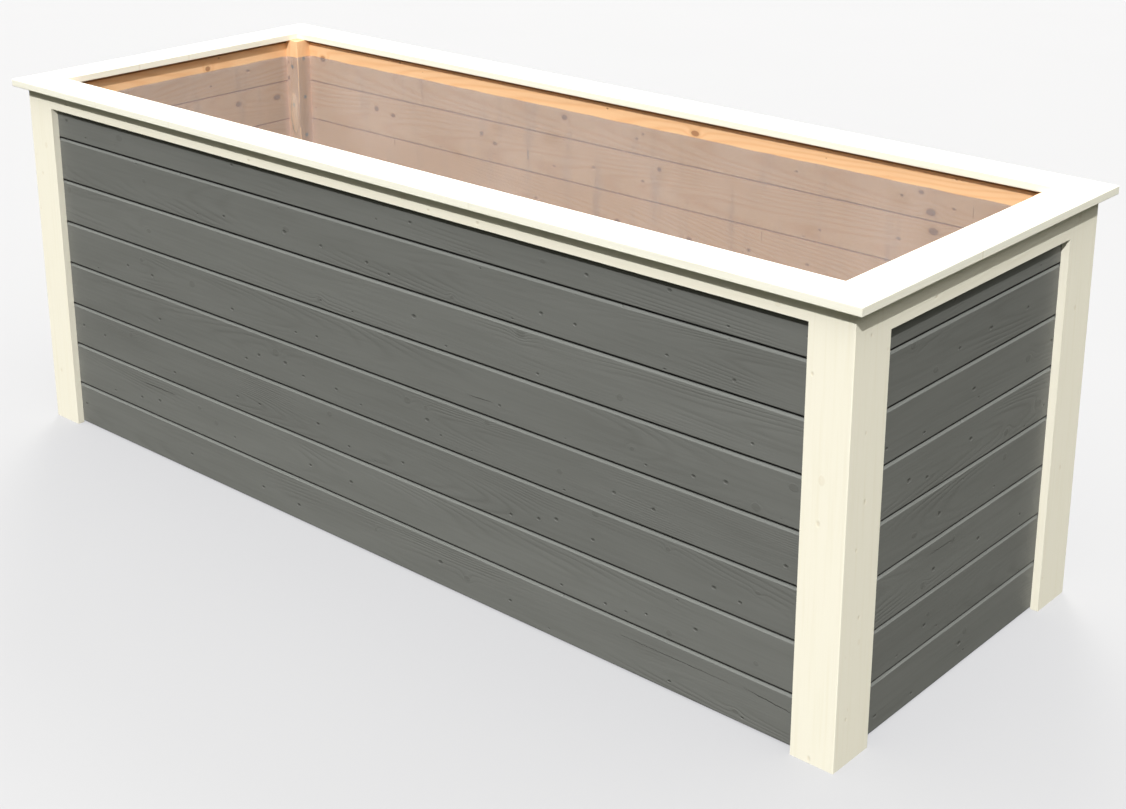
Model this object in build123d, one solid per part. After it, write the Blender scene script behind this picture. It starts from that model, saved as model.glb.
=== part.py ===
from build123d import *
import os

os.makedirs("parts", exist_ok=True)

# A rectangular raised bed of painted boards, open at the top and at the bottom.
# Millimetres. X runs along the long sides, Y along the short sides, Z is up.
# The origin is on the ground, under the middle of the bed.

# Driving dimensions
bed_length = 2128  # over the corner boards, along X
bed_width = 776  # over the corner boards, along Y
bed_height = 795  # from the ground to the top of the cap

# Cap frame
cap_thickness = 16
cap_width = 82
cap_overhang = 24  # past the corner boards, on every side
cap_rounding = 2

# Corner boards and the trim boards under the cap
trim_thickness = 15
face_corner_width = 82  # on the long sides, covering the edge of the side board
side_corner_width = 84
face_trim_height = 38
side_trim_height = 58
arris_rounding = 1.5

# Tongue and groove wall boards
board_count = 8  # courses, one above the other
board_cover = 96  # height that each course covers
board_thickness = 28
board_base = 5  # lowest edge above the ground
shadow_gap = 4.5  # open joint on the outer face, above each course
chamfer_height = 4.5
chamfer_depth = 3.5
tongue_from = 9.5  # from the outer face
tongue_thickness = 9
tongue_height = 6
tongue_play = 0.5  # on each side of the tongue
inner_bevel = 2  # on both inner edges

# Posts inside the corners, and the screws through them into the boards
post_size = 40
post_rounding = 2
screw_radius = 2.5
screw_length = 60
head_radius = 5
head_height = 3
screw_stagger = 10  # up or down, so that screws from two sides miss each other

# Film liner
film_thickness = 1
film_gap = 0.5  # between the film and the wood
film_top = 741
film_bottom = 20

# Values that follow from the above
under_cap = bed_height - cap_thickness
wall_x = bed_length / 2 - trim_thickness  # outer face of the short walls
wall_y = bed_width / 2 - trim_thickness  # outer face of the long walls
inside_x = wall_x - board_thickness
inside_y = wall_y - board_thickness


def save(shape, name):
    export_step(shape, f"parts/{name}.step")


def block(x_span, y_span, z_span):
    """A box from three pairs of limits."""
    size = [high - low for low, high in (x_span, y_span, z_span)]
    centre = [(high + low) / 2 for low, high in (x_span, y_span, z_span)]
    return Pos(*centre) * Box(*size)


def board_outline():
    """Section of a wall board: depth from the outer face along X, height along Y."""
    shoulder = board_cover - shadow_gap
    tongue_to = tongue_from + tongue_thickness
    slot_from = tongue_from - tongue_play
    slot_to = tongue_to + tongue_play
    slot_depth = tongue_height + 2 * tongue_play
    tongue_top = board_cover + tongue_height
    inner = board_thickness - inner_bevel
    return make_face(
        Polyline(
            (0, 0),
            (slot_from, 0),
            (slot_from, slot_depth),
            (slot_to, slot_depth),
            (slot_to, 0),
            (inner, 0),
            (board_thickness, inner_bevel),
            (board_thickness, board_cover - inner_bevel),
            (inner, board_cover),
            (tongue_to, board_cover),
            (tongue_to, tongue_top),
            (tongue_from, tongue_top),
            (tongue_from, shoulder),
            (chamfer_depth, shoulder),
            (0, shoulder - chamfer_height),
            close=True,
        )
    )


def wall_board(length):
    """A board along X, centred, with its outer face on Y = 0 facing -Y and its lowest edge on Z = 0."""
    section = Plane(origin=(-length / 2, 0, 0), x_dir=(0, 1, 0), z_dir=(1, 0, 0))
    return extrude(section * board_outline(), amount=length)


def cap_board(length):
    """A mitred board along X, centred, outer edge on Y = 0, on Z = 0."""
    half = length / 2
    outline = Polyline(
        (-half, 0),
        (half, 0),
        (half - cap_width, cap_width),
        (-half + cap_width, cap_width),
        close=True,
    )
    body = extrude(make_face(outline), amount=cap_thickness)
    return fillet(body.edges().filter_by(Axis.X), cap_rounding)


def rounded_block(x_span, y_span, z_span, corner, radius):
    """A box with its upright edge nearest to a plan position rounded."""
    body = block(x_span, y_span, z_span)
    upright = body.edges().filter_by(Axis.Z)
    edge = upright.sort_by_distance(Vertex(corner[0], corner[1], (z_span[0] + z_span[1]) / 2))[0]
    return fillet(edge, radius)


def span(side, near, far):
    """Two distances from the middle, as low and high limits on the given side (1 or -1)."""
    return tuple(sorted((side * near, side * far)))


def screw():
    """A countersunk screw along X, with the top of its head on X = 0 and its shank towards +X."""
    head = Cone(head_radius, screw_radius, head_height, align=(Align.CENTER, Align.CENTER, Align.MIN))
    shank_length = screw_length - head_height
    shank = Cylinder(screw_radius, shank_length, align=(Align.CENTER, Align.CENTER, Align.MIN))
    return Rot(0, 90, 0) * (head + Pos(0, 0, head_height) * shank)


def place_screws(side_x, side_y):
    """The screws of one post: one per course into the long wall, and one into the short wall."""
    middle_x = side_x * (inside_x - post_size / 2)
    middle_y = side_y * (inside_y - post_size / 2)
    head_x = side_x * (inside_x - post_size)
    head_y = side_y * (inside_y - post_size)
    turn_x = 0 if side_x > 0 else 180
    placed = []
    for course in range(board_count):
        height = board_base + board_cover * (course + 0.5)
        into_side = Pos(head_x, middle_y, height + screw_stagger) * Rot(0, 0, turn_x) * screw()
        into_face = Pos(middle_x, head_y, height - screw_stagger) * Rot(0, 0, 90 * side_y) * screw()
        placed += [into_side, into_face]
    return placed


def film_outline(gap):
    """The inside of the walls and round the posts, drawn in by a gap."""
    far_x = inside_x - gap
    far_y = inside_y - gap
    near_x = inside_x - post_size - gap
    near_y = inside_y - post_size - gap
    quarter = [(near_x, far_y), (near_x, near_y), (far_x, near_y)]
    points = [(x, y) for x, y in quarter]
    points += [(x, -y) for x, y in reversed(quarter)]
    points += [(-x, -y) for x, y in quarter]
    points += [(-x, y) for x, y in reversed(quarter)]
    return make_face(Polyline(*points, close=True))


# Screws first, because the posts and boards are drilled for them
corners = {
    "front_left": (-1, -1),
    "front_right": (1, -1),
    "rear_left": (-1, 1),
    "rear_right": (1, 1),
}
screws = []
for side_x, side_y in corners.values():
    screws += place_screws(side_x, side_y)
save(Compound(children=screws), "post_screws")

# Wall boards, from the lowest course up
walls = {
    "front": (2 * wall_x, Pos(0, -wall_y, 0)),
    "rear": (2 * wall_x, Pos(0, wall_y, 0) * Rot(0, 0, 180)),
    "left": (2 * inside_y, Pos(-wall_x, 0, 0) * Rot(0, 0, -90)),
    "right": (2 * inside_y, Pos(wall_x, 0, 0) * Rot(0, 0, 90)),
}
for wall, (length, place) in walls.items():
    for course in range(board_count):
        board = place * Pos(0, 0, board_base + board_cover * course) * wall_board(length)
        box = board.bounding_box()
        near = [s for s in screws if box.min.Z < s.center().Z < box.max.Z]
        for one in near:
            if (board & one) is not None:
                board -= one
        save(board, f"{wall}_board_{course + 1}")

# Posts inside the corners
for name, (side_x, side_y) in corners.items():
    x_span = span(side_x, inside_x - post_size, inside_x)
    y_span = span(side_y, inside_y - post_size, inside_y)
    free_edge = (side_x * (inside_x - post_size), side_y * (inside_y - post_size))
    post = rounded_block(x_span, y_span, (0, under_cap), free_edge, post_rounding)
    for one in place_screws(side_x, side_y):
        post -= one
    save(post, f"post_{name}")

# Corner boards: one on the long side, and one on the short side behind its edge
for name, (side_x, side_y) in corners.items():
    half_x = bed_length / 2
    half_y = bed_width / 2
    face = rounded_block(
        span(side_x, half_x - face_corner_width, half_x),
        span(side_y, wall_y, half_y),
        (0, under_cap),
        (side_x * half_x, side_y * half_y),
        arris_rounding,
    )
    side = block(
        span(side_x, wall_x, half_x),
        span(side_y, wall_y - side_corner_width, wall_y),
        (0, under_cap),
    )
    save(face, f"corner_face_{name}")
    save(side, f"corner_side_{name}")

# Trim boards under the cap, between the corner boards
face_trim_half = bed_length / 2 - face_corner_width
side_trim_half = wall_y - side_corner_width
for name, side in (("front", -1), ("rear", 1)):
    y_span = span(side, wall_y, bed_width / 2)
    z_span = (under_cap - face_trim_height, under_cap)
    save(block((-face_trim_half, face_trim_half), y_span, z_span), f"trim_{name}")
for name, side in (("left", -1), ("right", 1)):
    x_span = span(side, wall_x, bed_length / 2)
    z_span = (under_cap - side_trim_height, under_cap)
    save(block(x_span, (-side_trim_half, side_trim_half), z_span), f"trim_{name}")

# Cap frame, mitred at the corners
cap_x = bed_length / 2 + cap_overhang
cap_y = bed_width / 2 + cap_overhang
long_cap = cap_board(2 * cap_x)
short_cap = cap_board(2 * cap_y)
save(Pos(0, -cap_y, under_cap) * long_cap, "cap_front")
save(Pos(0, cap_y, under_cap) * Rot(0, 0, 180) * long_cap, "cap_rear")
save(Pos(-cap_x, 0, under_cap) * Rot(0, 0, -90) * short_cap, "cap_left")
save(Pos(cap_x, 0, under_cap) * Rot(0, 0, 90) * short_cap, "cap_right")

# Film liner: a thin skin over the walls and round the posts
skin = film_outline(film_gap) - film_outline(film_gap + film_thickness)
save(Pos(0, 0, film_bottom) * extrude(skin, amount=film_top - film_bottom), "film_liner")
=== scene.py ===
import math

import bpy
import numpy as np
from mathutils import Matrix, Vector


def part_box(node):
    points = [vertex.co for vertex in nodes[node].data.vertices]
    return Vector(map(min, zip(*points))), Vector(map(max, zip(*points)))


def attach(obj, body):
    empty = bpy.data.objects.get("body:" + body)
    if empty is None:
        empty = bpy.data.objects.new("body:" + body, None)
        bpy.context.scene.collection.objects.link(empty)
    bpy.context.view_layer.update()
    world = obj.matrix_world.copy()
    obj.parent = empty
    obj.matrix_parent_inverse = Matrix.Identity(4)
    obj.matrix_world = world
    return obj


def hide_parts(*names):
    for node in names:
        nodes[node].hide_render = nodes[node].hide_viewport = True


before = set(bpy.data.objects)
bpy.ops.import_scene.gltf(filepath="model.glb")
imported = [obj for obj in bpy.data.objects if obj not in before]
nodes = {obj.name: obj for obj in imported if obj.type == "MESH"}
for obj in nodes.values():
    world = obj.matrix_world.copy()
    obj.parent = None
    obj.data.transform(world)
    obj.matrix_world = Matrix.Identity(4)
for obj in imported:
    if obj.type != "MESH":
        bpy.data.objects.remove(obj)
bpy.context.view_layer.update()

# Raised planter: painted tongue and groove walls, off-white corner boards, trim and cap, and a
# film liner.
# Metres, in the frame of the CAD model: X along the long sides, Z up, the ground at Z = 0.


class Wire:  # one socket of a shader, so that shader maths reads as an expression
    def __init__(self, finish, socket):
        self.finish = finish
        self.socket = socket

    def maths(self, operation, *values):
        inputs = dict(enumerate(values))
        return self.finish.add("ShaderNodeMath", {"operation": operation}, inputs)

    def __add__(self, other):
        return self.maths("ADD", self, other)

    def __radd__(self, other):
        return self.maths("ADD", other, self)

    def __sub__(self, other):
        return self.maths("SUBTRACT", self, other)

    def __rsub__(self, other):
        return self.maths("SUBTRACT", other, self)

    def __mul__(self, other):
        return self.maths("MULTIPLY", self, other)

    def __rmul__(self, other):
        return self.maths("MULTIPLY", other, self)

    def __truediv__(self, other):
        return self.maths("DIVIDE", self, other)

    def __rtruediv__(self, other):
        return self.maths("DIVIDE", other, self)

    def __pow__(self, other):
        return self.maths("POWER", self, other)

    def __rpow__(self, other):
        return self.maths("POWER", other, self)

    def __abs__(self):
        return self.maths("ABSOLUTE", self)

    def wave(self):  # sine, from -1 to 1
        return self.maths("SINE", self)

    def root(self):
        return self.maths("SQRT", self)

    def most(self, other):
        return self.maths("MAXIMUM", self, other)

    def least(self, other):
        return self.maths("MINIMUM", self, other)

    def decay(self):  # e to the minus value
        return self.maths("EXPONENT", self * -1.0)

    def step(self, low, high):  # 0 at low, 1 at high, smooth between
        settings = {"interpolation_type": "SMOOTHSTEP"}
        inputs = {"Value": self, "From Min": low, "From Max": high}
        return self.finish.add("ShaderNodeMapRange", settings, inputs)


class Finish:  # a material, built on its Principled shader
    def __init__(self, name, constants):
        self.material = bpy.data.materials.new(name)
        self.material.use_nodes = True
        self.tree = self.material.node_tree
        self.shader = self.tree.nodes["Principled BSDF"]
        self.shade(constants)

    def feed(self, socket, value):
        if isinstance(value, Wire):
            self.tree.links.new(value.socket, socket)
        else:
            socket.default_value = value

    def add(self, kind, settings, inputs, out=0):
        node = self.tree.nodes.new(kind)
        for key, value in settings.items():
            if key != "stops":
                setattr(node, key, value)
        if "stops" in settings:
            fillRamp(node.color_ramp.elements, settings["stops"])
        for key, value in inputs.items():
            self.feed(node.inputs[key], value)
        return Wire(self, node.outputs[out])

    def shade(self, values):
        for key, value in values.items():
            self.feed(self.shader.inputs[key], value)

    def places(self, axes="XYZ"):  # Object coordinates in metres
        if not hasattr(self, "axes"):
            where = self.add("ShaderNodeTexCoord", {}, {}, out="Object")
            split = self.add("ShaderNodeSeparateXYZ", {}, {"Vector": where}).socket.node
            self.axes = {name: Wire(self, split.outputs[name]) for name in "XYZ"}
        return [self.axes[axis] for axis in axes]

    def join(self, x, y, z):
        return self.add("ShaderNodeCombineXYZ", {}, {"X": x, "Y": y, "Z": z})

    def noise(self, where, scale, shift=0.0, detail=2.0, rough=0.5):  # one scale to each axis
        x, y, z = (value * times for value, times in zip(where, scale))
        if shift:
            x = x + shift
        inputs = {"Vector": self.join(x, y, z), "Scale": 1.0, "Detail": detail, "Roughness": rough}
        return self.add("ShaderNodeTexNoise", {}, inputs)

    def tone(self, value, stops):
        return self.add("ShaderNodeValToRGB", {"stops": stops}, {"Fac": value})

    def mix(self, amount, first, second):  # of two colours
        colours = [(*c, 1.0) if isinstance(c, tuple) else c for c in (first, second)]
        inputs = {0: amount, 6: colours[0], 7: colours[1]}
        return self.add("ShaderNodeMix", {"data_type": "RGBA"}, inputs, out=2)

    def relief(self, height, strength=1.0):  # height in millimetres
        inputs = {"Height": height, "Distance": 0.001, "Strength": strength}
        self.shade({"Normal": self.add("ShaderNodeBump", {}, inputs)})


def fillRamp(elements, stops):
    while len(elements) < len(stops):
        elements.new(0.5)
    for element, (place, colour) in zip(elements, stops):
        element.position = place
        element.color = (*colour, 1.0)


# Wood, shared by the painted and the raw boards. Scales of noise are per metre along the grain,
# across it and into the board.

wood = {
    "ior": 1.45,
    "shift": 40.0,  # furthest that the noise of one board is moved along from the next
    "ringPitch": 0.0042,  # between two growth rings
    "ringSharp": 2.2,  # more makes the dark line of a ring narrower
    "pithBelow": 0.052,  # from the face to the heart of the log
    "pithVaries": (0.7, 1.5),
    "pithSlope": 0.045,  # how fast the heart leaves the board, which draws long arches
    "slopeVaries": (0.5, 1.2),
    "pithAside": 0.03,  # furthest from the middle of the board, up or down
    "bendScale": (1.7, 9.0, 9.0),
    "wander": 0.016,  # how far the rings wander along the board
    "wanderUp": 1.6,  # times as far across it
    "fibreScale": (14.0, 700.0, 700.0),
    "streakScale": (5.0, 150.0, 150.0),
    "patchScale": (3.1, 8.0, 8.0),  # where the figure of the rings shows
    "patchFrom": (0.46, 0.66),
    "knotsPerMetre": 2.2,
    "knotsVary": (0.6, 1.3),
    "knotAlong": 0.48,  # furthest from the middle, in lengths and heights of the board
    "knotUp": 0.38,
    "knotRadius": (0.0035, 0.0080),
    "knotStretch": (1.0, 1.7),
    "knotEdge": (0.55, 1.15),  # in squared radii
    "knotReach": 0.28,  # less lets a knot bend the rings further out
    "knotPush": 0.9,  # how far the rings bend, in radii
    "pitSpacing": 0.078,  # between the small pits and pin knots
    "pitRadius": 0.0026,
    "pitVaries": (2.4, 0.4),  # sizes: the first times the pit's chance, less the second
    "pitLeast": 0.0001,  # smallest radius to divide by
    "pitStretch": 1.5,
    "pitEdge": (0.25, 1.10),  # in radii
    "pitChance": (0.34, 0.66),  # pits with less chance are left out
}


def boardKnots(draw, length, height):
    # knots as (along, up, radius, stretch), from the middle of the board
    perBoard = wood["knotsPerMetre"] * length * draw.uniform(*wood["knotsVary"])
    count = max(1, int(round(perBoard)))
    knots = []
    for _ in range(count):
        along = draw.uniform(-wood["knotAlong"], wood["knotAlong"]) * length
        up = draw.uniform(-wood["knotUp"], wood["knotUp"]) * height
        radius = draw.uniform(*wood["knotRadius"])
        knots.append((along, up, radius, draw.uniform(*wood["knotStretch"])))
    return knots


def cells(finish, u, v):
    # one point to each unit square, jittered: the offset from the nearest, and a chance of its own
    inputs = {"Vector": finish.join(u, v, 0.0), "Scale": 1.0}
    cell = finish.add("ShaderNodeTexVoronoi", {"voronoi_dimensions": "2D"}, inputs)
    outputs = cell.socket.node.outputs
    place = Wire(finish, outputs["Position"])
    point = finish.add("ShaderNodeSeparateXYZ", {}, {"Vector": place})
    pointX, pointY = (Wire(finish, point.socket.node.outputs[axis]) for axis in "XY")
    return u - pointX, v - pointY, Wire(finish, outputs["Color"])


def pits(finish, along, up):
    # small ovals along the grain, of different sizes, with the smaller half of them left out
    spacing = wood["pitSpacing"]
    times, less = wood["pitVaries"]
    offAlong, offUp, chance = cells(finish, along / spacing, up / spacing)
    offAlong = offAlong * (spacing / wood["pitStretch"])
    offUp = offUp * spacing
    radius = (chance * times - less) * wood["pitRadius"]
    away = (offAlong * offAlong + offUp * offUp).root() / radius.most(wood["pitLeast"])
    return (1.0 - away.step(*wood["pitEdge"])) * chance.step(*wood["pitChance"])


def woodFields(finish, where, draw, knots):
    # rings: distance from a slanting heart line, bent by noise and round the knots, taken as a wave
    along, up, deep = where
    shift = draw.uniform(-wood["shift"], wood["shift"])
    heartUp = draw.uniform(-wood["pithAside"], wood["pithAside"])
    slope = wood["pithSlope"] * draw.choice([-1, 1]) * draw.uniform(*wood["slopeVaries"])
    bend = finish.noise(where, wood["bendScale"], shift)
    side = up - heartUp + (bend - 0.5) * wood["wander"] * wood["wanderUp"]
    depth = deep + wood["pithBelow"] * draw.uniform(*wood["pithVaries"]) + along * slope
    away = (side * side + depth * depth).root() + (bend - 0.5) * wood["wander"]
    core = None
    halo = None
    for knotAlong, knotUp, radius, stretch in knots:
        offAlong = (along - knotAlong) / (radius * stretch)
        offUp = (up - knotUp) / radius
        square = offAlong * offAlong + offUp * offUp
        near = (square * wood["knotReach"]).decay()
        away = away + near * (radius * wood["knotPush"])
        inside = 1.0 - square.step(*wood["knotEdge"])
        core = inside if core is None else core.most(inside)
        halo = near if halo is None else halo.most(near)
    wave = (away * (2 * math.pi / wood["ringPitch"])).wave() * 0.5 + 0.5
    return {
        "rings": wave ** wood["ringSharp"],
        "fibre": finish.noise(where, wood["fibreScale"], shift, rough=0.6),
        "streak": finish.noise(where, wood["streakScale"], shift),
        "patch": finish.noise(where, wood["patchScale"], -shift).step(*wood["patchFrom"]),
        "core": core,
        "halo": halo,
        "pit": pits(finish, along + shift, up),
    }


# Raw wood, on the inner side of the walls and on the posts

raw = {
    "early": (0.90, 0.585, 0.335),
    "late": (0.83, 0.490, 0.255),
    "knot": (0.34, 0.165, 0.085),
    "knotRim": (0.66, 0.370, 0.185),
    # painted shade in the joints on the inner side
    "seamShade": (0.40, 0.185, 0.085),
    "rough": 0.68,
    "ringShare": 0.62,  # of the early to late change, the rest goes with the streaks
    "lightTo": (0.15, 0.95),
    "fibreFrom": (0.3, 0.75),  # each mark fades in between these
    "rimFrom": (0.35, 0.95),
    "fibreAmount": 0.22,  # how strongly each mark shows, from 0 to 1
    "rimAmount": 0.7,
    "knotAmount": 0.75,
    "pitAmount": 0.65,
    "postRings": 0.08,  # relief in millimetres
    "postFibre": 0.12,
}


def rawColour(finish, grain):
    earlyAt, lateAt = raw["lightTo"]
    growth = grain["rings"] * raw["ringShare"] + grain["streak"] * (1.0 - raw["ringShare"])
    light = finish.tone(growth, [(earlyAt, raw["early"]), (lateAt, raw["late"])])
    fibres = grain["fibre"].step(*raw["fibreFrom"]) * raw["fibreAmount"]
    rims = grain["halo"].step(*raw["rimFrom"]) * raw["rimAmount"]
    spots = (grain["core"] * raw["knotAmount"]).most(grain["pit"] * raw["pitAmount"])
    colour = finish.mix(fibres, light, raw["late"])
    colour = finish.mix(rims, colour, raw["knotRim"])
    return finish.mix(spots, colour, raw["knot"])


# Cracks in the painted boards

crack = {
    "colour": (0.03, 0.028, 0.024),
    "amount": 0.8,
    "depth": 1.6,  # millimetres
    "waver": 0.004,
    "waverScale": (60.0, 4.0, 0.0),
    "edge": (0.5, 1.3),  # in half widths
    "ends": (0.9, 1.0),  # in half lengths
    "least": 1e-5,  # smallest half width to divide by
}

crackMarks = {  # along, height in the course from its middle, half length, half width, slant
    "front_board_1": [(0.733, 0.0153, 0.125, 0.0005, 0.0), (0.930, 0.0144, 0.056, 0.0008, -0.085)],
    "front_board_2": [(-0.679, 0.018, 0.062, 0.0009, 0.01)],
    "front_board_5": [(0.285, -0.021, 0.035, 0.0006, 0.03)],
    "right_board_3": [(-0.060, 0.020, 0.040, 0.0006, -0.02)],
    "rear_board_2": [(0.420, 0.010, 0.060, 0.0009, 0.03)],
    "left_board_4": [(0.080, -0.016, 0.045, 0.0007, 0.02)],
}


def cracks(finish, along, up, marks):
    # each crack: a thin line along the grain, widest in its middle, wavering a little
    waver = (finish.noise((along, up, 0.0), crack["waverScale"]) - 0.5) * crack["waver"]
    total = None
    for middle, height, half, width, slant in marks:
        run = (along - middle) / half
        off = abs(up - height - (along - middle) * slant - waver)
        gape = (1.0 - run * run).most(0.0) * width + crack["least"]
        line = 1.0 - (off / gape).step(*crack["edge"])
        line = line * (1.0 - abs(run).step(*crack["ends"]))
        total = line if total is None else total.most(line)
    return total


# Painted wall boards

wall = {
    "courses": 8,
    "cover": 0.096,  # height of a course
    "base": 0.005,  # foot of the lowest board
    "grey": (0.149, 0.154, 0.147),
    "greyWornAndHighlight": (0.190, 0.196, 0.188),  # thinner paint on the arrises, with a painted highlight there; also the lighter brush marks
    "greyDark": (0.112, 0.114, 0.107),  # where the grain takes more paint
    # pits, and the painted shade at the edges of the joints
    "greyPitAndShade": (0.036, 0.036, 0.033),
    # painted highlight on the chamfer, which faces up into the light
    "greyChamferHighlight": (0.168, 0.177, 0.170),
    "greyGrooveShade": (0.022, 0.022, 0.020),  # painted shade deep in the joint
    "rough": 0.52,
    "roughVaries": 0.12,
    "tintVaries": 0.05,  # each board takes the paint a little differently
    "flowScale": (3.0, 22.0, 10.0),  # brush marks
    "streakFrom": (0.35, 0.75),  # each mark fades in between these
    "flowFrom": (0.35, 0.7),
    "arrisFrom": (0.40, 0.62),
    "streakAmount": 0.30,  # how strongly each mark shows, from 0 to 1
    "flowAmount": 0.20,
    "knotAmount": 0.45,
    "figureAmount": 0.30,
    "pitAmount": 0.42,
    "edgeShadeAmount": 0.8,
    "arrisAmount": 0.45,
    "seamShadeAmount": 0.85,
    "lip": 0.0014,  # lower arris of a board, always in its own shade
    "chamferFrom": 0.0866,  # height in the course where the chamfer starts
    "chamferTo": 0.0906,
    "chamferBlend": 0.0006,
    "arrisWidth": (0.0002, 0.0016),
    "grooveFrom": (0.0030, 0.0050),  # depths over which painted shade darkens the joint
    "paintDepth": (0.0120, 0.0130),  # the paint ends between these, in from the outer face
    "seamWidth": 0.0022,  # of the painted shade at the bevels on the inner side
    "ringRelief": 0.22,  # millimetres, as the next ones
    "ringShare": 0.2,  # of it, where the rings have no figure
    "fibreRelief": 0.10,
    "streakRelief": 0.22,
    "flowRelief": 0.25,
    "knotRelief": 0.25,
    "pitDepth": 1.3,
}


def paintColour(finish, grain, flow, height, deep):
    # grey paint, marked by the grain first, then by painted shade and highlight after the shape of
    # the board
    above = height - wall["chamferFrom"]
    # painted shade above the chamfer, where the joint opens, and on the lower arris of the board
    edge = height.step(wall["chamferTo"], wall["chamferTo"] + wall["chamferBlend"])
    edge = edge.most(height.step(wall["lip"], wall["lip"] * 0.5))
    # wear on the arris between face and chamfer, with a painted highlight
    arris = (1.0 - abs(above).step(*wall["arrisWidth"])) * flow.step(*wall["arrisFrom"])
    marks = grain["core"] * wall["knotAmount"] + grain["figure"] * wall["figureAmount"]
    coats = [
        (grain["streak"].step(*wall["streakFrom"]) * wall["streakAmount"], "greyDark"),
        (flow.step(*wall["flowFrom"]) * wall["flowAmount"], "greyWornAndHighlight"),
        (marks, "greyDark"),
        (grain["pit"] * wall["pitAmount"], "greyPitAndShade"),
        # painted highlight on the chamfer
        (above.step(-wall["chamferBlend"], wall["chamferBlend"]), "greyChamferHighlight"),
        # painted shade at the edges of the joint
        (edge * wall["edgeShadeAmount"], "greyPitAndShade"),
        # wear with a painted highlight on the arris
        (arris * wall["arrisAmount"], "greyWornAndHighlight"),
        # painted shade deep in the joint
        (deep.step(*wall["grooveFrom"]), "greyGrooveShade"),
    ]
    paint = wall["grey"]
    for amount, shade in coats:
        paint = finish.mix(amount, paint, wall[shade])
    return paint


def boardFinish(name, course, seed):
    draw = np.random.default_rng(seed)
    low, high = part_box(name)
    size = high - low
    finish = Finish(name + "_finish", {"IOR": wood["ior"]})
    if size.x > size.y:  # a long wall
        along, across = finish.places("XY")
        outer = max(abs(low.y), abs(high.y))
    else:
        along, across = finish.places("YX")
        outer = max(abs(low.x), abs(high.x))
    up = finish.places("Z")[0] - (wall["base"] + wall["cover"] * (course + 0.5))
    deep = outer - abs(across)  # depth in from the outer face
    where = (along, up, deep)
    knots = boardKnots(draw, max(size.x, size.y), wall["cover"])
    grain = woodFields(finish, where, draw, knots)
    grain["figure"] = grain["rings"] * grain["patch"]
    tint = draw.uniform(-wall["tintVaries"], wall["tintVaries"])
    flow = finish.noise(where, wall["flowScale"], seed, detail=3.0)

    height = up + wall["cover"] / 2  # from the foot of the board
    paint = paintColour(finish, grain, flow, height, deep)
    tinted = {"Color": paint, "Value": 1.0 + tint, "Fac": 1.0}
    shade = finish.add("ShaderNodeHueSaturation", {}, tinted)
    # painted shade in the joints on the raw inner side
    nearest = height.least(wall["cover"] - height)  # to a joint
    seamShade = nearest.step(wall["seamWidth"], wall["seamWidth"] * 0.5)
    bare = finish.mix(seamShade * wall["seamShadeAmount"], rawColour(finish, grain), raw["seamShade"])
    inside = deep.step(*wall["paintDepth"])
    colour = finish.mix(inside, shade, bare)

    lift = grain["fibre"] * wall["fibreRelief"] + grain["streak"] * wall["streakRelief"]
    lift = lift + flow * wall["flowRelief"]
    lift = lift + grain["core"] * wall["knotRelief"] - grain["pit"] * wall["pitDepth"]
    lift = lift - (grain["figure"] + grain["rings"] * wall["ringShare"]) * wall["ringRelief"]
    if name in crackMarks:
        line = cracks(finish, along, up, crackMarks[name])
        lift = lift - line * crack["depth"]
        colour = finish.mix(line * crack["amount"], colour, crack["colour"])
    roughness = wall["rough"] + (flow - 0.5) * wall["roughVaries"]
    roughness = roughness + inside * (raw["rough"] - wall["rough"])
    finish.shade({"Base Color": colour, "Roughness": roughness})
    finish.relief(lift)
    return finish.material


# Off-white corner boards, trim and cap

cream = {
    "face": (0.925, 0.895, 0.775),
    "capFace": (0.910, 0.900, 0.800),
    "shade": (0.830, 0.785, 0.620),  # where the wood shows through
    "knot": (0.700, 0.600, 0.430),
    "rough": 0.42,
    "roughVaries": 0.12,
    "ior": 1.47,
    "knotsPerMetre": 1.4,
    "flowScale": (4.0, 26.0, 12.0),  # brush marks
    "streakFrom": (0.45, 0.8),  # each mark fades in between these
    "fibreFrom": (0.5, 0.8),
    "streakAmount": 0.30,  # how strongly each mark shows, from 0 to 1
    "fibreAmount": 0.14,
    "knotAmount": 0.20,
    "pitAmount": 0.35,
    "ringRelief": 0.05,  # millimetres, as the next ones
    "fibreRelief": 0.08,
    "knotRelief": 0.16,
    "streakRelief": 0.12,
    "flowRelief": 0.2,
    "pitDepth": 0.5,
}


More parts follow.
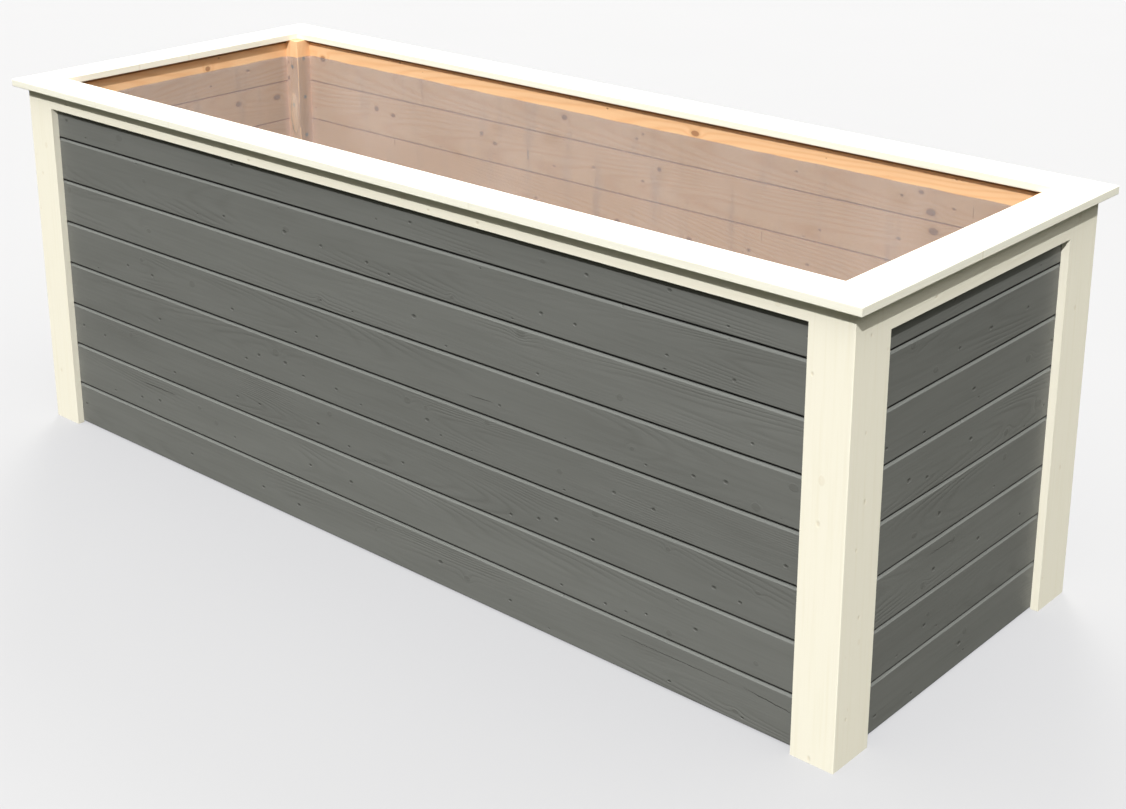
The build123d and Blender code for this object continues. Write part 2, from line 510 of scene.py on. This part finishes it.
def creamFinish(name, seed, body):
    draw = np.random.default_rng(seed)
    low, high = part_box(name)
    size = high - low
    centre = (low + high) / 2
    sizes = {"X": size.x, "Y": size.y, "Z": size.z}
    centres = {"X": centre.x, "Y": centre.y, "Z": centre.z}
    thick, wide, lengthwise = sorted(sizes, key=sizes.get)
    finish = Finish(name + "_finish", {"IOR": cream["ior"]})
    axes = (lengthwise, wide, thick)
    where = [place - centres[axis] for place, axis in zip(finish.places(axes), axes)]
    count = max(1, int(round(cream["knotsPerMetre"] * sizes[lengthwise])))
    knots = boardKnots(draw, sizes[lengthwise], sizes[wide])[:count]
    grain = woodFields(finish, where, draw, knots)
    flow = finish.noise(where, cream["flowScale"], seed, detail=3.0)
    streaks = grain["streak"].step(*cream["streakFrom"]) * cream["streakAmount"]
    fibres = grain["fibre"].step(*cream["fibreFrom"]) * cream["fibreAmount"]
    spots = grain["core"] * cream["knotAmount"] + grain["pit"] * cream["pitAmount"]
    colour = finish.mix(streaks, body, cream["shade"])
    colour = finish.mix(fibres, colour, cream["shade"])
    colour = finish.mix(spots, colour, cream["knot"])
    lift = grain["rings"] * cream["ringRelief"] + grain["fibre"] * cream["fibreRelief"]
    lift = lift + grain["core"] * cream["knotRelief"] + grain["streak"] * cream["streakRelief"]
    lift = lift + flow * cream["flowRelief"] - grain["pit"] * cream["pitDepth"]
    roughness = cream["rough"] + (flow - 0.5) * cream["roughVaries"]
    finish.shade({"Base Color": colour, "Roughness": roughness})
    finish.relief(lift)
    return finish.material


# Raw posts inside the corners

def postFinish(name, seed):
    draw = np.random.default_rng(seed)
    low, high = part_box(name)
    centre = (low + high) / 2
    finish = Finish(name + "_finish", {"IOR": wood["ior"]})
    x, y, z = finish.places()
    where = (z - centre.z, x - centre.x, y - centre.y)
    knots = boardKnots(draw, high.z - low.z, high.x - low.x)
    grain = woodFields(finish, where, draw, knots)
    finish.shade({"Base Color": rawColour(finish, grain), "Roughness": raw["rough"]})
    finish.relief(grain["rings"] * raw["postRings"] + grain["fibre"] * raw["postFibre"])
    return finish.material


# Zinc plated screws

zinc = {
    "plate": (0.62, 0.58, 0.44),
    "dull": (0.42, 0.40, 0.33),
    "rough": 0.34,
    "roughVaries": 0.2,
    "cloudScale": (240.0, 240.0, 240.0),
    "relief": 0.03,  # millimetres
}


def zincFinish():
    finish = Finish("zinc_plate", {"Metallic": 1.0})
    cloud = finish.noise(finish.places(), zinc["cloudScale"], detail=3.0)
    colour = finish.mix(cloud, zinc["plate"], zinc["dull"])
    roughness = zinc["rough"] + cloud * zinc["roughVaries"]
    finish.shade({"Base Color": colour, "Roughness": roughness})
    finish.relief(cloud * zinc["relief"])
    return finish.material


def setFinish(name, material):
    mesh = nodes[name].data
    mesh.materials.clear()
    mesh.materials.append(material)


# Each piece draws its own grain: these are the first seeds, counted on from piece to piece

seeds = {
    "board": 11,
    "nextWall": 100,
    "corner_face_": 500,
    "corner_side_": 520,
    "post_": 540,
    "trim_": 560,
    "cap_": 580,
}

walls = ["front", "rear", "left", "right"]
corners = ["front_left", "front_right", "rear_left", "rear_right"]
for wallIndex, side in enumerate(walls):
    for course in range(wall["courses"]):
        name = f"{side}_board_{course + 1}"
        seed = seeds["nextWall"] * wallIndex + course + seeds["board"]
        setFinish(name, boardFinish(name, course, seed))
print("wall boards finished")

for index, corner in enumerate(corners):
    for part in ("corner_face_", "corner_side_"):
        setFinish(part + corner, creamFinish(part + corner, seeds[part] + index, cream["face"]))
    setFinish("post_" + corner, postFinish("post_" + corner, seeds["post_"] + index))
for index, side in enumerate(walls):
    for part, body in (("trim_", cream["face"]), ("cap_", cream["capFace"])):
        setFinish(part + side, creamFinish(part + side, seeds[part] + index, body))
setFinish("post_screws", zincFinish())
print("corner boards, trim, cap, posts and screws finished")


# Film liner

film = {
    "gap": 0.0010,  # from the wood to the middle of the film
    "thickness": 0.0004,
    "postBend": 0.003,  # radius round the free edge of a post
    "innerBend": 0.016,  # radius where the film bridges an inner corner
    "arcSteps": 13,
    "around": 860,  # grid steps round the walls
    "rows": 54,
    "wrinkle": 0.0022,  # furthest lean of the waves
    "waveShares": (0.55, 0.45),  # slow waves and quick ones
    "slowWaves": [(9, 3.0, 0.0, 0.0), (4, 7.0, 0.0, 1.0)],  # how many round, slant, sway, start
    "quickWaves": [(41, -5.0, 2.0, 0.0), (17, 0.0, 0.0, 1.3)],
    "edgeWaves": [(23, 0.0, 0.0, 2.0), (7, 0.0, 0.0, 0.0)],
    "swayUp": 6,  # how often a wave sways on its way up, in radians
    "topShare": 0.35,  # of the waves, left at the top edge
    "topReach": 6,  # the waves are whole from a sixth of the height below it
    "edgeDrop": 0.0006,
    "edgeDip": 0.0012,
    "blister": (-0.995, 0.598),  # X and Z of its middle, on the rear left post
    "blisterHalf": (0.0155, 0.0550),
    "blisterDepth": 0.009,
    "blisterBand": 0.008,  # only film this close to the post's front swells
    "colour": (0.36, 0.39, 0.44),
    "haze": (0.45, 0.48, 0.53),
    "smudge": (0.30, 0.31, 0.34),
    # painted highlight on the blister, where the film stands off the post
    "blisterHighlightColour": (0.70, 0.60, 0.50),
    # painted shade in the short upright creases
    "crease": (0.14, 0.11, 0.10),
    "cloudScale": (5.0, 5.0, 4.0),
    "creaseScale": (24.0, 24.0, 3.5),
    "spotScale": (60.0, 60.0, 60.0),
    "smudgeScale": (9.0, 13.0, 1.0),
    "smudgePlane": 7.0,  # where the noise is cut for them
    "cloudFrom": (0.35, 0.7),  # each mark fades in between these
    "creaseFrom": (0.52, 0.75),
    "smudgeFrom": (0.58, 0.72),
    "tickFrom": (0.45, 0.60),
    "tickSides": (0.3, 1.0),  # in widths
    "tickEnds": (0.6, 1.0),  # in half lengths
    "blisterEdge": (0.75, 1.05),  # in squared half sizes
    "blisterFrom": (0.27, 0.29),  # Y, so that the front wall has none
    "smudgeAmount": 0.55,  # how strongly each mark shows, from 0 to 1
    "tickShadeAmount": 0.6,
    "blisterHighlightAmount": 0.7,
    "alpha": 0.27,
    "blisterAlpha": 0.10,  # what each mark adds to alpha
    "cloudAlpha": 0.06,
    "creaseAlpha": 0.05,
    "tickAlpha": 0.25,
    "rough": 0.36,
    "roughVaries": 0.1,
    "ior": 1.5,
    "creaseRelief": 1.2,  # millimetres
    "cloudRelief": 2.0,
    "tickRelief": 1.2,
    "reliefStrength": 0.6,
    "tickAcross": 0.21,  # between the short upright creases
    "tickUp": 0.16,
    "tickWidth": 0.0014,
    "tickLength": 0.026,
}


def roundedLoop(corners, radii, samples):
    # straight runs joined by quarter arcs, then points at even steps of the length
    points = []
    count = len(corners)
    for i in range(count):
        before, here, after = (np.array(corners[(i + k) % count]) for k in (-1, 0, 1))
        back = (before - here) / np.linalg.norm(before - here)
        ahead = (after - here) / np.linalg.norm(after - here)
        centre = here + (back + ahead) * radii[i]
        t = np.linspace(0, np.pi / 2, film["arcSteps"])[:, None]
        points.append(centre - ahead * radii[i] * np.cos(t) - back * radii[i] * np.sin(t))
    path = np.concatenate(points)
    path = np.vstack([path, path[:1]])
    step = np.linalg.norm(np.diff(path, axis=0), axis=1)
    run = np.concatenate([[0], np.cumsum(step)])
    at = np.linspace(0, run[-1], samples + 1)[:-1]
    loop = np.stack([np.interp(at, run, path[:, k]) for k in (0, 1)], axis=1)
    tangent = np.roll(loop, -1, axis=0) - np.roll(loop, 1, axis=0)
    tangent /= np.linalg.norm(tangent, axis=1)[:, None]
    inward = np.stack([-tangent[:, 1], tangent[:, 0]], axis=1)
    return loop, inward, at, run[-1]


def waves(kind, v, turn):
    # sines round the walls, multiplied with each other, that slant and sway on their way up
    total = 1.0
    for count, slant, sway, start in film[kind]:
        climb = slant * v + sway * np.sin(film["swayUp"] * v)
        total = total * np.sin(count * turn + climb + start)
    return total


def filmLean(v, turn):
    # how far the film leans inwards, v up and turn round: slow and quick waves, each squared, and
    # both weaker at the top edge
    slow = waves("slowWaves", v, turn)
    quick = waves("quickWaves", v, turn)
    slowShare, quickShare = film["waveShares"]
    top = film["topShare"]
    calm = top + (1 - top) * np.minimum(1, (1 - v) * film["topReach"])
    return film["wrinkle"] * (slowShare * slow ** 2 + quickShare * quick ** 2) * calm


def makeFilm():
    # a strip carried round the walls and posts, leaning inwards in waves, with one oval blister
    # on the rear left post and a top edge that dips a little
    low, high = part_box("film_liner")
    postLow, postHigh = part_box("post_rear_right")
    gap = film["gap"]
    farX, farY = postHigh.x - gap, postHigh.y - gap
    nearX, nearY = postLow.x - gap, postLow.y - gap
    quarter = [(nearX, farY), (nearX, nearY), (farX, nearY)]
    bends = quarter + [(x, -y) for x, y in reversed(quarter)]
    bends = bends + [(-x, -y) for x, y in quarter] + [(-x, y) for x, y in reversed(quarter)]
    bends = bends[::-1]  # anticlockwise, so that the left-hand side is inwards
    radii = [film["innerBend"], film["postBend"], film["innerBend"]] * 4
    count = film["around"]
    rows = film["rows"]
    loop, inward, at, around = roundedLoop(bends, radii, count)
    v = np.linspace(0, 1, rows)[:, None]
    turn = 2 * np.pi / around * at[None, :]
    z = low.z + (high.z - low.z) * v + np.zeros_like(turn)
    x, y = loop[:, 0], loop[:, 1]
    blisterX, blisterZ = film["blister"]
    halfX, halfZ = film["blisterHalf"]
    onPost = (np.abs(y - nearY) < film["blisterBand"]) & (x < 0)
    oval = 1 - ((x - blisterX) / halfX) ** 2 - ((z - blisterZ) / halfZ) ** 2
    swell = film["blisterDepth"] * np.sqrt(np.clip(oval, 0, 1))
    lean = filmLean(v, turn) + np.where(onPost[None, :], swell, 0)
    dip = film["edgeDrop"] + film["edgeDip"] * np.abs(waves("edgeWaves", 0.0, turn))
    z = z - np.where(v > 0.999, dip, 0)  # the top row only
    verts = np.stack([x + inward[:, 0] * lean, y + inward[:, 1] * lean, z], axis=-1)
    start = np.arange(rows - 1)[:, None] * count
    a = start + np.arange(count)
    b = start + (np.arange(count) + 1) % count
    faces = np.stack([a, b, b + count, a + count], axis=-1).reshape(-1, 4)
    mesh = bpy.data.meshes.new("filmSheet")
    mesh.from_pydata(verts.reshape(-1, 3).tolist(), [], faces.tolist())
    mesh.polygons.foreach_set("use_smooth", [True] * len(mesh.polygons))
    piece = bpy.data.objects.new("filmSheet", mesh)
    bpy.context.scene.collection.objects.link(piece)
    skin = piece.modifiers.new("thickness", "SOLIDIFY")
    skin.thickness = film["thickness"]
    skin.offset = 0.0
    return piece, around, high.z - low.z


def filmFinish():
    finish = Finish("film_finish", {"IOR": film["ior"]})
    x, y, z = finish.places()
    cloud = finish.noise((x, y, z), film["cloudScale"], detail=3.0)
    crease = finish.noise((x, y, z), film["creaseScale"], detail=3.0, rough=0.6)
    spots = finish.noise((x, y, z), film["spotScale"])
    smudge = finish.noise((x + y, z, film["smudgePlane"]), film["smudgeScale"], detail=3.0)
    offAlong, offUp, chance = cells(finish, (x + y) / film["tickAcross"], z / film["tickUp"])
    run = abs(offAlong * (film["tickAcross"] / film["tickWidth"]))
    rise = abs(offUp * (2 * film["tickUp"] / film["tickLength"]))
    tick = (1.0 - run.step(*film["tickSides"])) * (1.0 - rise.step(*film["tickEnds"]))
    tick = tick * chance.step(*film["tickFrom"])
    blisterX, blisterZ = film["blister"]
    halfX, halfZ = film["blisterHalf"]
    offX = (x - blisterX) / halfX
    offZ = (z - blisterZ) / halfZ
    oval = 1.0 - (offX * offX + offZ * offZ).step(*film["blisterEdge"])
    oval = oval * y.step(*film["blisterFrom"])
    smudges = smudge.step(*film["smudgeFrom"]) * film["smudgeAmount"]
    milk = finish.mix(cloud.step(*film["cloudFrom"]), film["colour"], film["haze"])
    milk = finish.mix(smudges, milk, film["smudge"])
    # painted shade in the creases
    milk = finish.mix(tick * film["tickShadeAmount"], milk, film["crease"])
    # painted highlight on the blister
    milk = finish.mix(oval * film["blisterHighlightAmount"], milk, film["blisterHighlightColour"])
    alpha = film["alpha"] + oval * film["blisterAlpha"] + (cloud - 0.5) * film["cloudAlpha"]
    alpha = alpha + crease.step(*film["creaseFrom"]) * film["creaseAlpha"]
    alpha = alpha + tick * film["tickAlpha"]
    roughness = film["rough"] + (spots - 0.5) * film["roughVaries"]
    finish.shade({"Base Color": milk, "Roughness": roughness, "Alpha": alpha})
    lift = crease * film["creaseRelief"] + cloud * film["cloudRelief"] + tick * film["tickRelief"]
    finish.relief(lift, film["reliefStrength"])
    return finish.material


filmSheet, filmAround, filmDrop = makeFilm()
filmSheet.data.materials.append(filmFinish())
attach(filmSheet, "root")
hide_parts("film_liner")
print("film liner hung")


# Floor, backdrop, light and camera

studio = {
    "floorColour": (0.180, 0.180, 0.177),
    "floorMottle": (0.186, 0.186, 0.184),
    "floorScale": (1.5, 1.5, 1.0),
    "floorRough": 0.9,
    "floorIor": 1.3,
    "floorGlow": 0.50,  # keeps the shadows on the floor faint
    "floorGlowColour": (0.90, 0.91, 0.96, 1.0),
    "floorRadius": 60.0,
    "floorSteps": 96,
    "backdropFoot": -1.0,
    "backdropTop": 60.0,
    "backdropGlow": 0.93,
    "sunTravel": (-0.385, 0.667, -0.638),  # the way the light goes
    "sunStrength": 3.2,
    "sunAngle": 0.5,  # degrees across
    "fillTravel": (0.560, -0.640, -0.525),  # from behind, for the sides that the sun doesn't reach
    "fillStrength": 2.0,
    "fillAngle": 25.0,
    "lampColour": (1.0, 0.985, 0.955),
    "skyHigh": (1.92, 1.88, 1.78),
    "skyLow": (0.085, 0.083, 0.070),
    "ground": (0.105, 0.107, 0.082),
    "skyBands": (0.49, 0.51, 0.74, 0.80),  # ground to, low sky from and to, high sky from
}

view = {
    "place": (2.3767, -2.5121, 1.6894),
    "turn": 41.51,  # degrees, from looking along +Y
    "drop": 17.6,  # degrees below level
    "lens": 58.0,
    "sensor": 36.0,
    "shiftY": -0.16,
    "reach": 300.0,
}


def glow(name, strength):
    material = bpy.data.materials.new(name)
    material.use_nodes = True
    tree = material.node_tree
    tree.nodes.clear()
    light = tree.nodes.new("ShaderNodeEmission")
    light.inputs["Strength"].default_value = strength
    out = tree.nodes.new("ShaderNodeOutputMaterial")
    tree.links.new(light.outputs[0], out.inputs["Surface"])
    return material


def stageMesh(name, verts, faces, material):
    mesh = bpy.data.meshes.new(name)
    mesh.from_pydata(verts, [], faces)
    mesh.materials.append(material)
    piece = bpy.data.objects.new(name, mesh)
    bpy.context.scene.collection.objects.link(piece)
    piece.visible_diffuse = False  # the world alone lights the object from the sides and below
    piece.visible_glossy = False
    piece.visible_transmission = False
    return piece


def floorFinish():
    finish = Finish("floor_finish", {"Roughness": studio["floorRough"], "IOR": studio["floorIor"]})
    finish.shade({"Emission Color": studio["floorGlowColour"]})
    finish.shade({"Emission Strength": studio["floorGlow"]})
    x, y = finish.places("XY")
    cloud = finish.noise((x, y, 0.0), studio["floorScale"])
    colour = finish.mix(cloud, studio["floorColour"], studio["floorMottle"])
    finish.shade({"Base Color": colour})
    return finish.material


def makeStage():
    steps = studio["floorSteps"]
    radius = studio["floorRadius"]
    turns = np.linspace(0, 2 * np.pi, steps + 1)[:-1]
    ring = [(radius * np.cos(t), radius * np.sin(t)) for t in turns]
    stageMesh("floor", [(x, y, 0.0) for x, y in ring], [list(range(steps))], floorFinish())
    low = [(x, y, studio["backdropFoot"]) for x, y in ring]
    high = [(x, y, studio["backdropTop"]) for x, y in ring]
    sides = [(i, (i + 1) % steps, steps + (i + 1) % steps, steps + i) for i in range(steps)]
    light = glow("backdrop_finish", studio["backdropGlow"])
    backdrop = stageMesh("backdrop", low + high, sides, light)
    backdrop.visible_shadow = False


def makeLamp(name):
    lamp = bpy.data.lights.new(name, "SUN")
    lamp.energy = studio[name + "Strength"]
    lamp.angle = math.radians(studio[name + "Angle"])
    lamp.color = studio["lampColour"]
    piece = bpy.data.objects.new(name, lamp)
    piece.rotation_mode = "QUATERNION"
    piece.rotation_quaternion = Vector(studio[name + "Travel"]).to_track_quat("-Z", "Y")
    bpy.context.scene.collection.objects.link(piece)


def makeSky():
    world = bpy.data.worlds.new("sky")
    world.use_nodes = True
    bpy.context.scene.world = world
    tree = world.node_tree
    where = tree.nodes.new("ShaderNodeTexCoord")
    split = tree.nodes.new("ShaderNodeSeparateXYZ")
    ramp = tree.nodes.new("ShaderNodeValToRGB")
    half = tree.nodes.new("ShaderNodeMapRange")
    half.inputs["From Min"].default_value = -1.0
    tree.links.new(where.outputs["Generated"], split.inputs["Vector"])
    tree.links.new(split.outputs["Z"], half.inputs["Value"])
    tree.links.new(half.outputs["Result"], ramp.inputs["Fac"])
    colours = [studio[part] for part in ("ground", "skyLow", "skyLow", "skyHigh")]
    fillRamp(ramp.color_ramp.elements, list(zip(studio["skyBands"], colours)))
    tree.links.new(ramp.outputs["Color"], tree.nodes["Background"].inputs["Color"])


def makeCamera():
    data = bpy.data.cameras.new("camera")
    data.lens = view["lens"]
    data.sensor_width = view["sensor"]
    data.sensor_fit = "HORIZONTAL"
    data.shift_y = view["shiftY"]
    data.clip_end = view["reach"]
    camera = bpy.data.objects.new("camera", data)
    camera.location = view["place"]
    camera.rotation_euler = (math.radians(90 - view["drop"]), 0.0, math.radians(view["turn"]))
    bpy.context.scene.collection.objects.link(camera)
    bpy.context.scene.camera = camera


makeStage()
makeLamp("sun")
makeLamp("fill")
makeSky()
makeCamera()
bpy.context.scene.view_settings.view_transform = "Standard"
print("stage, light and camera set")

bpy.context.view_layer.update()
